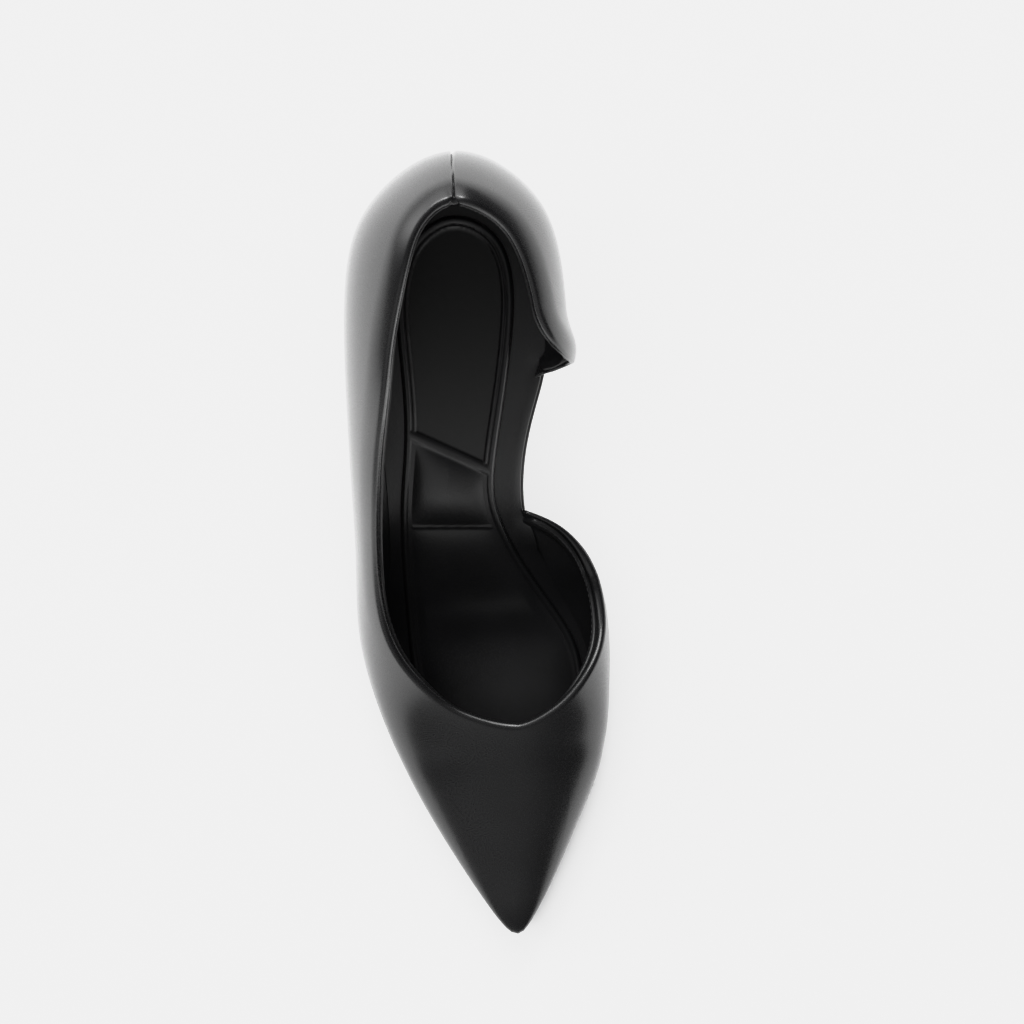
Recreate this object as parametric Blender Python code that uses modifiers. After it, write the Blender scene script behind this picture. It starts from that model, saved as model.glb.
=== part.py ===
"""A pointed court shoe for the right foot, cut away at the inner waist, on a slim high heel.

Lengths are metres. The toe points to -Y, the inner side of the foot is +X, and the shoe stands on z = 0.
Every piece is taken from one last. A station of the last runs from the widest line of one side to the
ridge on top. Along a station the wrap value is 0 at the feather edge, where upper meets sole, 1 at the
widest line and 2 at the ridge.
"""
import math

import bmesh
import bpy
import numpy as np

MM = 0.001

# Driving sizes
LENGTH = 233.3 * MM
BALL_WIDTH = 76.3 * MM
INSTEP_HEIGHT = 46.4 * MM
HEEL_HEIGHT = 95.2 * MM

# Thicknesses and clearances
UPPER_WALL = 1.8 * MM
GAP = 0.3 * MM
INSOLE_THICKNESS = 2.5 * MM
SOCK_THICKNESS = 2.4 * MM
TREAD_THICKNESS = 3.5 * MM
WAIST_THICKNESS = 2.2 * MM
TOP_PIECE_HEIGHT = 5.7 * MM
TOP_PIECE_LIP = 0.4 * MM
SOLE_OVERHANG = 0.5 * MM
MERGE = 0.02 * MM

# The last in plan, and how far its widest line rises above the feather. along is a share of the length,
# the sides, tucks and ridge are shares of the ball width, and rise is a share of the instep height, all in
# percent. tuck is how far the feather lies inside the widest line.
SECTION_COLUMNS = ("along", "outer", "inner", "outer_tuck", "inner_tuck", "ridge", "rise")
SECTIONS = (
    (0.0, 0.0, 0.0, 2.9, 2.9, 0.0, 12.9),
    (1.7, 6.4, 6.0, 3.1, 3.1, 0.8, 14.2),
    (6.4, 15.3, 15.2, 3.9, 3.9, 2.1, 18.3),
    (15.0, 29.1, 29.1, 5.0, 4.7, 4.5, 27.0),
    (23.6, 40.6, 40.6, 5.5, 4.7, 6.6, 34.5),
    (32.1, 49.1, 45.0, 6.6, 5.2, 7.1, 36.5),
    (41.6, 53.7, 46.3, 9.2, 12.5, 5.5, 36.5),
    (51.4, 51.4, 42.4, 12.5, 23.0, 2.9, 38.8),
    (62.2, 49.3, 40.5, 13.1, 24.0, -0.5, 39.9),
    (68.6, 48.2, 39.2, 12.1, 17.6, -2.1, 39.9),
    (73.7, 47.3, 38.4, 10.5, 11.0, -2.9, 39.9),
    (83.6, 44.6, 37.9, 8.3, 7.9, -3.4, 38.8),
    (92.2, 37.0, 32.8, 7.2, 7.2, -2.9, 37.7),
    (97.3, 22.5, 20.2, 6.6, 6.6, -2.1, 36.6),
    (100.0, 0.0, 0.0, 6.6, 6.6, -1.6, 36.6),
)

# Underside and ridge of the last in side view: the underside from the toe spring over the ball and the
# arch to the heel seat, the ridge from above the toe over the instep to above the heel. along is a share
# of the length, and height a share of the heel height, in percent.
PROFILE_COLUMNS = ("along", "height")
BOTTOM = (
    (0.0, 10.0),
    (6.4, 6.5),
    (15.0, 4.1),
    (23.6, 3.5),
    (30.9, 3.7),
    (36.4, 5.2),
    (42.9, 11.6),
    (49.3, 26.2),
    (57.9, 49.8),
    (68.6, 71.4),
    (79.3, 85.6),
    (90.0, 94.7),
    (100.0, 100.0),
)
RIDGE = (
    (5.0, 20.5),
    (9.0, 24.5),
    (15.0, 30.5),
    (23.0, 38.5),
    (28.0, 43.8),
    (32.0, 49.8),
    (36.0, 59.5),
    (41.0, 74.8),
    (46.0, 92.0),
    (50.0, 106.5),
    (56.0, 127.0),
    (62.0, 143.0),
    (70.0, 157.0),
    (78.0, 165.5),
    (86.5, 173.0),
)

# Top edges of the upper: along in percent of the length, and the wrap value where the leather ends.
# The outer edge and the vamp's inner edge both start at the throat on the ridge.
TOPLINE_COLUMNS = ("along", "wrap")
OUTER_TOPLINE = (
    (28.85, 2.0),
    (29.8, 1.83),
    (31.0, 1.727),
    (34.5, 1.569),
    (39.6, 1.425),
    (44.9, 1.335),
    (51.4, 1.275),
    (59.0, 1.265),
    (65.2, 1.285),
    (71.5, 1.335),
    (77.7, 1.38),
    (84.2, 1.44),
    (90.0, 1.475),
    (96.9, 1.465),
    (100.0, 1.45),
)
INNER_VAMP_TOPLINE = (
    (28.85, 2.0),
    (29.6, 1.835),
    (30.9, 1.69),
    (34.6, 1.425),
    (39.3, 1.195),
    (42.6, 1.095),
    (44.2, 1.054),
    (45.4, 1.027),
    (46.4, 1.006),
    (47.0, 0.974),
    (47.8, 0.905),
    (48.6, 0.84),
    (51.7, 0.57),
    (54.7, 0.30),
    (57.2, 0.04),
)
INNER_QUARTER_TOPLINE = (
    (73.3, 1.0),
    (76.9, 1.225),
    (82.1, 1.275),
    (88.6, 1.33),
    (94.4, 1.395),
    (98.5, 1.44),
    (100.0, 1.45),
)

# How far the stations fan out from the ridge around the toe tip and around the back of the heel
TOE_FAN = 14 * MM
HEEL_FAN = 32 * MM

# The round vamp turns into the steeper quarter between these shares of the length, in percent.
VAMP_TO_QUARTER = (32, 69)
VAMP_POWERS = (2.0, 2.0)
QUARTER_POWERS = (1.7, 1.0)

# Sole: where it thins from tread to waist, and where the heel breast stands, in percent of the length
TREAD_TO_WAIST = (32, 50)
BREAST = 80.0

# Insole: the stretch of the inner waist with no upper beside it, where the insole comes out to the edge,
# in percent of the length
WAIST_OPENS = (58.4, 61.0)
WAIST_CLOSES = (69.5, 72.3)

# Outline of the sock lining: along from its front to its back, and the side of each edge, in millimetres
# from the toe tip and its middle line
SOCK_COLUMNS = ("along", "outer", "inner")
SOCK_EDGES = (
    (21.0, 0.6, 0.6),
    (24.0, -4.0, 5.0),
    (30.0, -8.5, 9.5),
    (45.0, -16.5, 18.5),
    (60.0, -22.0, 24.4),
    (75.0, -25.2, 26.6),
    (89.0, -26.3, 24.8),
    (102.5, -26.2, 17.8),
    (115.6, -25.8, 10.4),
    (125.0, -25.3, 6.4),
    (134.0, -24.4, 4.2),
    (145.0, -22.6, 5.1),
    (157.0, -20.9, 7.8),
    (169.0, -20.3, 10.6),
    (180.0, -20.3, 12.8),
    (191.0, -20.0, 14.3),
    (203.0, -17.4, 13.6),
    (209.8, -13.8, 10.6),
    (213.8, -9.2, 6.2),
    (216.2, -1.5, -1.5),
)

# Heel: each level is the seat's outline, shrunk. drop is the share of the way from the seat to the top
# piece, front and back are shares of the length, width is a share of the seat's width, all in percent.
HEEL_COLUMNS = ("drop", "front", "back", "width")
HEEL_LEVELS = (
    (4, 80.6, 97.3, 92.0),
    (10, 82.0, 96.2, 74.0),
    (20, 83.9, 95.0, 53.0),
    (32, 85.7, 94.1, 38.0),
    (48, 87.1, 93.3, 27.5),
    (70, 88.0, 92.7, 21.0),
    (100, 88.3, 92.5, 18.0),
)


def natural_spline(knots, values):
    """A natural cubic spline through the given values, as a function."""
    knots = np.array(knots, dtype=float)
    values = np.array(values, dtype=float)
    count = len(knots)
    span = np.diff(knots)
    slope = np.diff(values) / span
    system = np.eye(count)
    load = np.zeros(count)
    for i in range(1, count - 1):
        system[i, i - 1:i + 2] = span[i - 1], 2 * (span[i - 1] + span[i]), span[i]
        load[i] = 6 * (slope[i] - slope[i - 1])
    bend = np.linalg.solve(system, load)

    def value_at(x):
        i = min(max(int(np.searchsorted(knots, x)) - 1, 0), count - 2)
        before = x - knots[i]
        after = knots[i + 1] - x
        cubic = (bend[i] * after ** 3 + bend[i + 1] * before ** 3) / (6 * span[i])
        left = (values[i] / span[i] - bend[i] * span[i] / 6) * after
        right = (values[i + 1] / span[i] - bend[i + 1] * span[i] / 6) * before
        return float(cubic + left + right)

    return value_at


def ease(x, limits):
    """0 before the limits, 1 after them and a smooth step between."""
    low, high = limits
    share = min(1.0, max(0.0, (x - low) / (high - low)))
    return share * share * (3 - 2 * share)


def percent_along(along):
    return 100 * along / LENGTH


def turn(along, start=0.0, end=LENGTH):
    """Half a turn from one end to the other, so that side curves in it close round at both ends."""
    return math.acos(min(1.0, max(-1.0, 1 - 2 * (along - start) / (end - start))))


def table_column(rows, columns, name):
    place = columns.index(name)
    return [row[place] for row in rows]


def section_curve(name, unit):
    """One column of the section table as a function of the turn, in metres."""
    knots = [turn(LENGTH * percent / 100) for percent in table_column(SECTIONS, SECTION_COLUMNS, "along")]
    values = [unit * percent / 100 for percent in table_column(SECTIONS, SECTION_COLUMNS, name)]
    return natural_spline(knots, values)


SECTION_UNITS = {
    "outer": BALL_WIDTH,
    "inner": BALL_WIDTH,
    "outer_tuck": BALL_WIDTH,
    "inner_tuck": BALL_WIDTH,
    "ridge": BALL_WIDTH,
    "rise": INSTEP_HEIGHT,
}
SECTION_CURVES = {name: section_curve(name, unit) for name, unit in SECTION_UNITS.items()}


def profile_curve(rows):
    """A height in side view as a function of the place along the foot, both in metres."""
    return natural_spline(
        [LENGTH * percent / 100 for percent in table_column(rows, PROFILE_COLUMNS, "along")],
        [HEEL_HEIGHT * percent / 100 for percent in table_column(rows, PROFILE_COLUMNS, "height")],
    )


bottom_height = profile_curve(BOTTOM)
ridge_height = profile_curve(RIDGE)


def ridge_slope(along):
    step = 1 * MM
    return (ridge_height(along + step) - ridge_height(along - step)) / (2 * step)


def topline_curve(rows):
    """Wrap value of a top edge, smooth in the square root of the way from its first row."""
    start = rows[0][0]
    curve = natural_spline(
        [math.sqrt(percent - start) for percent in table_column(rows, TOPLINE_COLUMNS, "along")],
        table_column(rows, TOPLINE_COLUMNS, "wrap"),
    )
    return lambda along: curve(math.sqrt(max(0.0, percent_along(along) - start)))


class Station:
    """One cut of the last, from the widest line of a side (outer or inner) to the ridge."""

    def __init__(self, along, side):
        sign = 1 if side == "inner" else -1
        angle = turn(along)
        to_back = LENGTH - along
        ridge_along = math.hypot(along, TOE_FAN) - math.hypot(to_back, HEEL_FAN) + to_back
        self.widest = np.array([sign * SECTION_CURVES[side](angle), along])
        self.to_ridge = np.array([SECTION_CURVES["ridge"](angle), ridge_along]) - self.widest
        self.reach = float(np.linalg.norm(self.to_ridge))
        self.inward = self.to_ridge / self.reach
        self.tuck = SECTION_CURVES[side + "_tuck"](angle)
        self.feather = self.widest + self.tuck * self.inward
        self.feather_height = bottom_height(self.feather[1])
        self.rise = SECTION_CURVES["rise"](angle)
        self.crown = ridge_height(ridge_along) - self.feather_height - self.rise
        blend = ease(percent_along(along), VAMP_TO_QUARTER)
        self.climb_power, self.side_power = (
            vamp + blend * (quarter - vamp) for vamp, quarter in zip(VAMP_POWERS, QUARTER_POWERS)
        )
        self.toe_lean = (1 - blend) * ridge_slope(ridge_along) * self.inward[1] * self.reach

    def point(self, wrap):
        """The last's surface at a wrap value."""
        height = self.feather_height
        if wrap <= 1:
            offset = self.tuck * (1 - wrap) ** 2
            height += self.rise * wrap
        else:
            climb = math.sin(math.pi / 2 * min(1.0, wrap - 1))
            narrowing = max(0.0, 1 - climb ** self.climb_power) ** (1 / self.side_power)
            offset = self.reach * (1 - narrowing)
            height += self.rise + self.crown * climb - self.toe_lean * narrowing * climb ** 2
        x, y = self.widest + offset * self.inward
        return x, y, height


def feather_edge(along, side, inset):
    """A point inside the feather edge, at right angles to it."""
    station = Station(along, side)
    step = 0.2 * MM
    if step < along < LENGTH - step:
        run = Station(along + step, side).feather - Station(along - step, side).feather
        sign = 1 if side == "inner" else -1
        inward = sign * np.array([-run[1], run[0]]) / np.linalg.norm(run)
    else:
        inward = station.inward
    return station.feather + inset * inward


def stations_from_tip(start, end, count):
    """Places along the foot that crowd together at the start."""
    return [start + (end - start) * (i / count) ** 2 for i in range(count + 1)]


def stations_between_ends(start, end, count):
    """Places along the foot that crowd together at both ends."""
    return [start + (end - start) * (1 - math.cos(math.pi * i / count)) / 2 for i in range(count + 1)]


def grid_mesh(columns, rows):
    """A grid of quads and its vertices in rows, each row a list."""
    mesh = bmesh.new()
    bmesh.ops.create_grid(mesh, x_segments=columns, y_segments=rows, size=1)
    places = sorted(mesh.verts, key=lambda vert: (round(vert.co.y, 5), round(vert.co.x, 5)))
    width = columns + 1
    return mesh, [places[i:i + width] for i in range(0, len(places), width)]


def close_mesh(mesh):
    """Merges coincident vertices and turns the faces outwards."""
    bmesh.ops.remove_doubles(mesh, verts=mesh.verts[:], dist=MERGE)
    bmesh.ops.dissolve_degenerate(mesh, edges=mesh.edges[:], dist=MERGE / 4)
    bmesh.ops.recalc_face_normals(mesh, faces=mesh.faces[:])


def leather(name, colour, roughness):
    material = bpy.data.materials.new(name)
    material.use_nodes = True
    shader = material.node_tree.nodes["Principled BSDF"]
    shader.inputs["Base Color"].default_value = (*colour, 1.0)
    shader.inputs["Roughness"].default_value = roughness
    shader.inputs["Metallic"].default_value = 0.0
    return material


def new_piece(name, mesh, material):
    """An object of the shoe from a finished bmesh."""
    data = bpy.data.meshes.new(name)
    mesh.to_mesh(data)
    mesh.free()
    data.shade_smooth()
    data.set_sharp_from_angle(angle=math.radians(40))
    data.materials.append(material)
    piece = bpy.data.objects.new(name, data)
    piece.parent = shoe_origin
    shoe.objects.link(piece)
    return piece


def upper_strip(side, places, wrap_at, wraps=10):
    """One side of the upper's outer face over the given stations, from the feather to its top edge."""
    mesh, rows = grid_mesh(wraps, len(places) - 1)
    for along, row in zip(places, rows):
        station = Station(along, side)
        top = wrap_at(along)
        for i, vert in enumerate(row):
            vert.co = station.point(top * i / wraps)
    return mesh


def make_upper(material):
    """Vamp and quarter in one wall, open at the collar, at the inner waist and underneath."""
    throat = LENGTH * OUTER_TOPLINE[0][0] / 100
    vamp_corner = LENGTH * INNER_VAMP_TOPLINE[-1][0] / 100
    quarter_front = LENGTH * INNER_QUARTER_TOPLINE[0][0] / 100
    toe_places = stations_from_tip(0.0, throat, 18)
    outer_edge = topline_curve(OUTER_TOPLINE)
    vamp_edge = topline_curve(INNER_VAMP_TOPLINE)
    quarter_edge = topline_curve(INNER_QUARTER_TOPLINE)
    outer_places = toe_places + stations_between_ends(throat, LENGTH, 26)[1:]
    vamp_places = toe_places + stations_from_tip(throat, vamp_corner, 13)[1:]
    quarter_places = stations_between_ends(quarter_front, LENGTH, 14)
    strips = (
        upper_strip("outer", outer_places, outer_edge),
        upper_strip("inner", vamp_places, vamp_edge),
        upper_strip("inner", quarter_places, quarter_edge),
    )
    shell = bmesh.new()
    for strip in strips:
        scratch = bpy.data.meshes.new("strip")
        strip.to_mesh(scratch)
        strip.free()
        shell.from_mesh(scratch)
        bpy.data.meshes.remove(scratch)
    close_mesh(shell)
    turn_faces_out(shell)
    upper = new_piece("upper", shell, material)
    wall = upper.modifiers.new("wall", "SOLIDIFY")
    wall.thickness = UPPER_WALL
    wall.offset = -1
    wall.use_even_offset = True
    wall.use_quality_normals = True


def turn_faces_out(shell):
    """The outermost face of an open shell points sideways away from it."""
    widest = max(shell.faces, key=lambda face: face.calc_center_median().x)
    if widest.normal.x < 0:
        bmesh.ops.reverse_faces(shell, faces=shell.faces[:])


def plate_mesh(places, outer_edge, inner_edge, across=8):
    """A flat sheet between two edges, each a function of the place along the foot."""
    mesh, rows = grid_mesh(across, len(places) - 1)
    for along, row in zip(places, rows):
        start, end = outer_edge(along), inner_edge(along)
        for i, vert in enumerate(row):
            x, y = start + (end - start) * i / across
            vert.co = x, y, 0.0
    bmesh.ops.remove_doubles(mesh, verts=mesh.verts[:], dist=MERGE)
    return mesh


def thicken(mesh, lower, upper):
    """Gives a flat sheet a lower and an upper face at the heights of two functions of the foot's length."""
    base = mesh.verts[:]
    raised = bmesh.ops.extrude_face_region(mesh, geom=mesh.faces[:])["geom"]
    for vert in base:
        vert.co.z = lower(vert.co.y)
    for vert in raised:
        if isinstance(vert, bmesh.types.BMVert):
            vert.co.z = upper(vert.co.y)
    close_mesh(mesh)


def make_outsole(material):
    """Leather sole with toe spring, a flat tread on the floor and the arch, up to the heel breast."""
    places = stations_from_tip(0.0, LENGTH * TREAD_TO_WAIST[0] / 100, 16)
    end = LENGTH * BREAST / 100
    steps = 14
    places += [places[-1] + (end - places[-1]) * i / steps for i in range(1, steps + 1)]

    def sole_top(along):
        return bottom_height(along) - GAP

    def sole_underside(along):
        thinning = ease(percent_along(along), TREAD_TO_WAIST)
        return max(0.0, sole_top(along) - TREAD_THICKNESS + thinning * (TREAD_THICKNESS - WAIST_THICKNESS))

    mesh = plate_mesh(
        places,
        lambda along: feather_edge(along, "outer", -SOLE_OVERHANG),
        lambda along: feather_edge(along, "inner", -SOLE_OVERHANG),
    )
    thicken(mesh, sole_underside, sole_top)
    new_piece("outsole", mesh, material)


def make_insole(material):
    """Board that the upper is lasted to. It lies inside the wall, and comes out to the open waist."""
    inside_wall = UPPER_WALL + GAP

    def inner_inset(along):
        place = percent_along(along)
        opening = ease(place, WAIST_OPENS) * (1 - ease(place, WAIST_CLOSES))
        return inside_wall + opening * (GAP - inside_wall)

    mesh = plate_mesh(
        stations_between_ends(0.0, LENGTH, 44),
        lambda along: feather_edge(along, "outer", inside_wall),
        lambda along: feather_edge(along, "inner", inner_inset(along)),
    )
    thicken(mesh, bottom_height, lambda along: bottom_height(along) + INSOLE_THICKNESS)
    new_piece("insole", mesh, material)


def make_sock_lining(material):
    """Padded footbed on the insole, with a margin of bare insole all round it."""
    start = SOCK_EDGES[0][0] * MM
    end = SOCK_EDGES[-1][0] * MM
    knots = [turn(along * MM, start, end) for along in table_column(SOCK_EDGES, SOCK_COLUMNS, "along")]
    outer_side = natural_spline(knots, table_column(SOCK_EDGES, SOCK_COLUMNS, "outer"))
    inner_side = natural_spline(knots, table_column(SOCK_EDGES, SOCK_COLUMNS, "inner"))

    def sock_underside(along):
        return bottom_height(along) + INSOLE_THICKNESS + GAP

    mesh = plate_mesh(
        stations_between_ends(start, end, 40),
        lambda along: np.array([outer_side(turn(along, start, end)) * MM, along]),
        lambda along: np.array([inner_side(turn(along, start, end)) * MM, along]),
    )
    thicken(mesh, sock_underside, lambda along: sock_underside(along) + SOCK_THICKNESS)
    new_piece("sock_lining", mesh, material)


def heel_seat():
    """The heel's outline under the foot, as a flat sheet, with its front, back and middle line."""
    start = LENGTH * BREAST / 100 + GAP
    places = [start + (LENGTH - start) * math.sin(math.pi / 2 * i / 12) for i in range(13)]
    mesh = plate_mesh(
        places,
        lambda along: feather_edge(along, "outer", 0.0),
        lambda along: feather_edge(along, "inner", 0.0),
        across=6,
    )
    corners = [vert.co for vert in mesh.verts]
    front = min(corner.y for corner in corners)
    back = max(corner.y for corner in corners)
    middle = (min(corner.x for corner in corners) + max(corner.x for corner in corners)) / 2
    return mesh, front, back, middle


def make_heel(material):
    """Covered stiletto heel: a cup under the heel seat that runs down into a slim stem."""
    mesh, front, back, middle = heel_seat()
    stem_end = TOP_PIECE_HEIGHT + GAP
    seat_front, seat_back = front, back

    def seat_height(share):
        return bottom_height(seat_front + share * (seat_back - seat_front)) - GAP

    for vert in mesh.verts:
        vert.co.z = seat_height((vert.co.y - front) / (back - front))
    seat = cap = mesh.faces[:]
    width = 100.0
    for drop, next_front, next_back, next_width in HEEL_LEVELS:
        moved = bmesh.ops.extrude_face_region(mesh, geom=cap)["geom"]
        if cap is not seat:
            bmesh.ops.delete(mesh, geom=cap, context="FACES")
        cap = [part for part in moved if isinstance(part, bmesh.types.BMFace)]
        next_front *= LENGTH / 100
        next_back *= LENGTH / 100
        for vert in moved:
            if isinstance(vert, bmesh.types.BMVert):
                share = (vert.co.y - front) / (back - front)
                vert.co.x = middle + (vert.co.x - middle) * next_width / width
                vert.co.y = next_front + share * (next_back - next_front)
                vert.co.z = seat_height(share) + drop / 100 * (stem_end - seat_height(share))
        front, back, width = next_front, next_back, next_width
    close_mesh(mesh)
    new_piece("heel", mesh, material)


def make_top_piece(material):
    """Hard-wearing block under the stem, on the floor, a little wider than the stem."""
    mesh, front, back, middle = heel_seat()
    stem = dict(zip(HEEL_COLUMNS, HEEL_LEVELS[-1]))
    stem_front = LENGTH * stem["front"] / 100 - TOP_PIECE_LIP
    stem_back = LENGTH * stem["back"] / 100 + TOP_PIECE_LIP
    for vert in mesh.verts:
        vert.co.x = middle + (vert.co.x - middle) * stem["width"] / 100 * (1 + TOP_PIECE_LIP / (5 * MM))
        vert.co.y = stem_front + (vert.co.y - front) / (back - front) * (stem_back - stem_front)
    thicken(mesh, lambda along: 0.0, lambda along: TOP_PIECE_HEIGHT)
    new_piece("top_piece", mesh, material)


def centre_on_floor():
    """Puts the middle of the shoe's plan at the origin."""
    corners = [vert.co for piece in shoe.objects if piece.type == "MESH" for vert in piece.data.vertices]
    for axis in (0, 1):
        low = min(corner[axis] for corner in corners)
        high = max(corner[axis] for corner in corners)
        shoe_origin.location[axis] = -(low + high) / 2


for old in list(bpy.data.objects):
    bpy.data.objects.remove(old, do_unlink=True)

shoe = bpy.data.collections.new("half_open_court_shoe")
bpy.context.scene.collection.children.link(shoe)
shoe_origin = bpy.data.objects.new("shoe_origin", None)
shoe.objects.link(shoe_origin)

make_upper(leather("upper_leather", (0.012, 0.012, 0.013), 0.38))
make_insole(leather("insole_cover", (0.016, 0.016, 0.017), 0.55))
make_sock_lining(leather("sock_leather", (0.020, 0.020, 0.021), 0.45))
make_outsole(leather("sole_leather", (0.015, 0.014, 0.014), 0.50))
make_heel(leather("heel_cover", (0.012, 0.012, 0.013), 0.38))
make_top_piece(leather("top_piece_rubber", (0.010, 0.010, 0.010), 0.65))
centre_on_floor()
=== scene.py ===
import math

import bmesh
import bpy
import numpy as np
from mathutils import Matrix, Vector
from mathutils.kdtree import KDTree


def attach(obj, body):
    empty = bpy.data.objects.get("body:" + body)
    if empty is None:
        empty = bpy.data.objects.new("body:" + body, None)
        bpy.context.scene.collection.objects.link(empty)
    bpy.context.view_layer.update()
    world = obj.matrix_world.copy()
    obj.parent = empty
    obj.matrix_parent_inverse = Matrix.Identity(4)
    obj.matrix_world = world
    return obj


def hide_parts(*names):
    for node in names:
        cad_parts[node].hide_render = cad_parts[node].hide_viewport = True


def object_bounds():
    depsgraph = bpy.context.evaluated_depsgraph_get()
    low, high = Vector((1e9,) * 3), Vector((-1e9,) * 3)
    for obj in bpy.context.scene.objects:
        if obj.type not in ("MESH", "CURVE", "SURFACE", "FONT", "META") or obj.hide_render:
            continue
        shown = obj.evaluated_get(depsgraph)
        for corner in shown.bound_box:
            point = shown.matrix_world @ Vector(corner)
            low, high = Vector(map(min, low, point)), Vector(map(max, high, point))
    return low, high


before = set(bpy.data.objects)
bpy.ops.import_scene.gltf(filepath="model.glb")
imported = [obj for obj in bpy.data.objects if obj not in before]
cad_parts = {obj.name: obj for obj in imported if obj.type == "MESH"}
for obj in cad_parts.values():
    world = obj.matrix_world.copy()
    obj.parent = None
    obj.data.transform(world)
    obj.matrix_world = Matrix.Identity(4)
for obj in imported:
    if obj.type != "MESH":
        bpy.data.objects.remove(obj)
cad_low, cad_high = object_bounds()

# Insole: the fibre board with its shank that the upper is lasted to, covered in black lining leather.
# It lies inside the wall of the upper, and comes out to the edge of the shoe at the open inner waist,
# where its cover is wrapped round the edge and glued under.
MM = 0.001
LENGTH = 233.3 * MM
BALL_WIDTH = 76.3 * MM
INSTEP_HEIGHT = 46.4 * MM
HEEL_HEIGHT = 95.2 * MM
INSOLE_THICKNESS = 2.5 * MM
INSOLE_INSET = 2.1 * MM
WAIST_INSET = 0.3 * MM
WAIST_OPENS = (52.5, 56.0)
WAIST_CLOSES = (73.3, 74.8)
WAIST_FALL = 1.1 * MM
WRAPPED_EDGE = 0.35 * MM
LINING_BLACK = (0.004, 0.004, 0.0043)
COAT_ROUGHNESS = 0.28
CLOUD_SIZE = 22 * MM
SMOOTH_LIMIT = math.radians(50)
MERGE = 0.02 * MM
SAME_HEIGHT = 0.1 * MM

# The last in plan. along is percent of the length, the sides, tucks and ridge are percent of the ball
# width, and rise is percent of the instep height. tuck is how far the feather edge, where upper meets
# sole, lies inside the widest line, and rise is how far below that line it lies.
SECTION_COLUMNS = ("along", "outer", "inner", "outer_tuck", "inner_tuck", "ridge", "rise")
SECTIONS = (
    (0.0, 0.0, 0.0, 2.9, 2.9, 0.0, 12.9),
    (1.7, 6.4, 6.0, 3.1, 3.1, 0.8, 14.2),
    (6.4, 15.3, 15.2, 3.9, 3.9, 2.1, 18.3),
    (15.0, 29.1, 29.1, 5.0, 4.7, 4.5, 27.0),
    (23.6, 40.6, 40.6, 5.5, 4.7, 6.6, 34.5),
    (32.1, 49.1, 45.0, 6.6, 5.2, 7.1, 36.5),
    (41.6, 53.7, 46.3, 9.2, 12.5, 5.5, 36.5),
    (51.4, 51.4, 42.4, 12.5, 23.0, 2.9, 38.8),
    (62.2, 49.3, 40.5, 13.1, 24.0, -0.5, 39.9),
    (68.6, 48.2, 39.2, 12.1, 17.6, -2.1, 39.9),
    (73.7, 47.3, 38.4, 10.5, 11.0, -2.9, 39.9),
    (83.6, 44.6, 37.9, 8.3, 7.9, -3.4, 38.8),
    (92.2, 37.0, 32.8, 7.2, 7.2, -2.9, 37.7),
    (97.3, 22.5, 20.2, 6.6, 6.6, -2.1, 36.6),
    (100.0, 0.0, 0.0, 6.6, 6.6, -1.6, 36.6),
)

# Underside of the last in side view, from the toe spring over the ball and the arch to the heel seat.
# along is percent of the length, height is percent of the heel height.
PROFILE_COLUMNS = ("along", "height")
BOTTOM = (
    (0.0, 10.0),
    (6.4, 6.5),
    (15.0, 4.1),
    (23.6, 3.5),
    (30.9, 3.7),
    (36.4, 5.2),
    (42.9, 11.6),
    (49.3, 26.2),
    (57.9, 49.8),
    (68.6, 71.4),
    (79.3, 85.6),
    (90.0, 94.7),
    (100.0, 100.0),
)

# How far the cuts of the last fan out from the ridge around the toe tip and the back of the heel
TOE_FAN = 14 * MM
HEEL_FAN = 32 * MM


def natural_spline(knots, values):
    """A natural cubic spline through the given values, as a function."""
    knots = np.array(knots, dtype=float)
    values = np.array(values, dtype=float)
    count = len(knots)
    span = np.diff(knots)
    slope = np.diff(values) / span
    system = np.eye(count)
    load = np.zeros(count)
    for i in range(1, count - 1):
        system[i, i - 1:i + 2] = span[i - 1], 2 * (span[i - 1] + span[i]), span[i]
        load[i] = 6 * (slope[i] - slope[i - 1])
    bend = np.linalg.solve(system, load)

    def value_at(x):
        i = min(max(int(np.searchsorted(knots, x)) - 1, 0), count - 2)
        before = x - knots[i]
        after = knots[i + 1] - x
        cubic = (bend[i] * after ** 3 + bend[i + 1] * before ** 3) / (6 * span[i])
        left = (values[i] / span[i] - bend[i] * span[i] / 6) * after
        right = (values[i + 1] / span[i] - bend[i + 1] * span[i] / 6) * before
        return float(cubic + left + right)

    return value_at


def ease(x, limits):
    """0 before the limits, 1 after them and a smooth step between."""
    low, high = limits
    share = min(1.0, max(0.0, (x - low) / (high - low)))
    return share * share * (3 - 2 * share)


def percent_along(along):
    return 100 * along / LENGTH


def turn(along):
    """Half a turn from toe to heel, so that side curves in it close round at both ends."""
    return math.acos(min(1.0, max(-1.0, 1 - 2 * along / LENGTH)))


def column(rows, columns, name):
    place = columns.index(name)
    return [row[place] for row in rows]


def section_curve(name, unit):
    """One column of the section table as a function of the turn, in metres."""
    knots = [turn(LENGTH * percent / 100) for percent in column(SECTIONS, SECTION_COLUMNS, "along")]
    values = [unit * percent / 100 for percent in column(SECTIONS, SECTION_COLUMNS, name)]
    return natural_spline(knots, values)


def profile_curve(rows):
    """A height in side view as a function of the place along the foot, both in metres."""
    return natural_spline(
        [LENGTH * percent / 100 for percent in column(rows, PROFILE_COLUMNS, "along")],
        [HEEL_HEIGHT * percent / 100 for percent in column(rows, PROFILE_COLUMNS, "height")],
    )


SECTION_CURVES = {name: section_curve(name, BALL_WIDTH) for name in SECTION_COLUMNS[1:-1]}
SECTION_CURVES["rise"] = section_curve("rise", INSTEP_HEIGHT)
bottom_height = profile_curve(BOTTOM)

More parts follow.
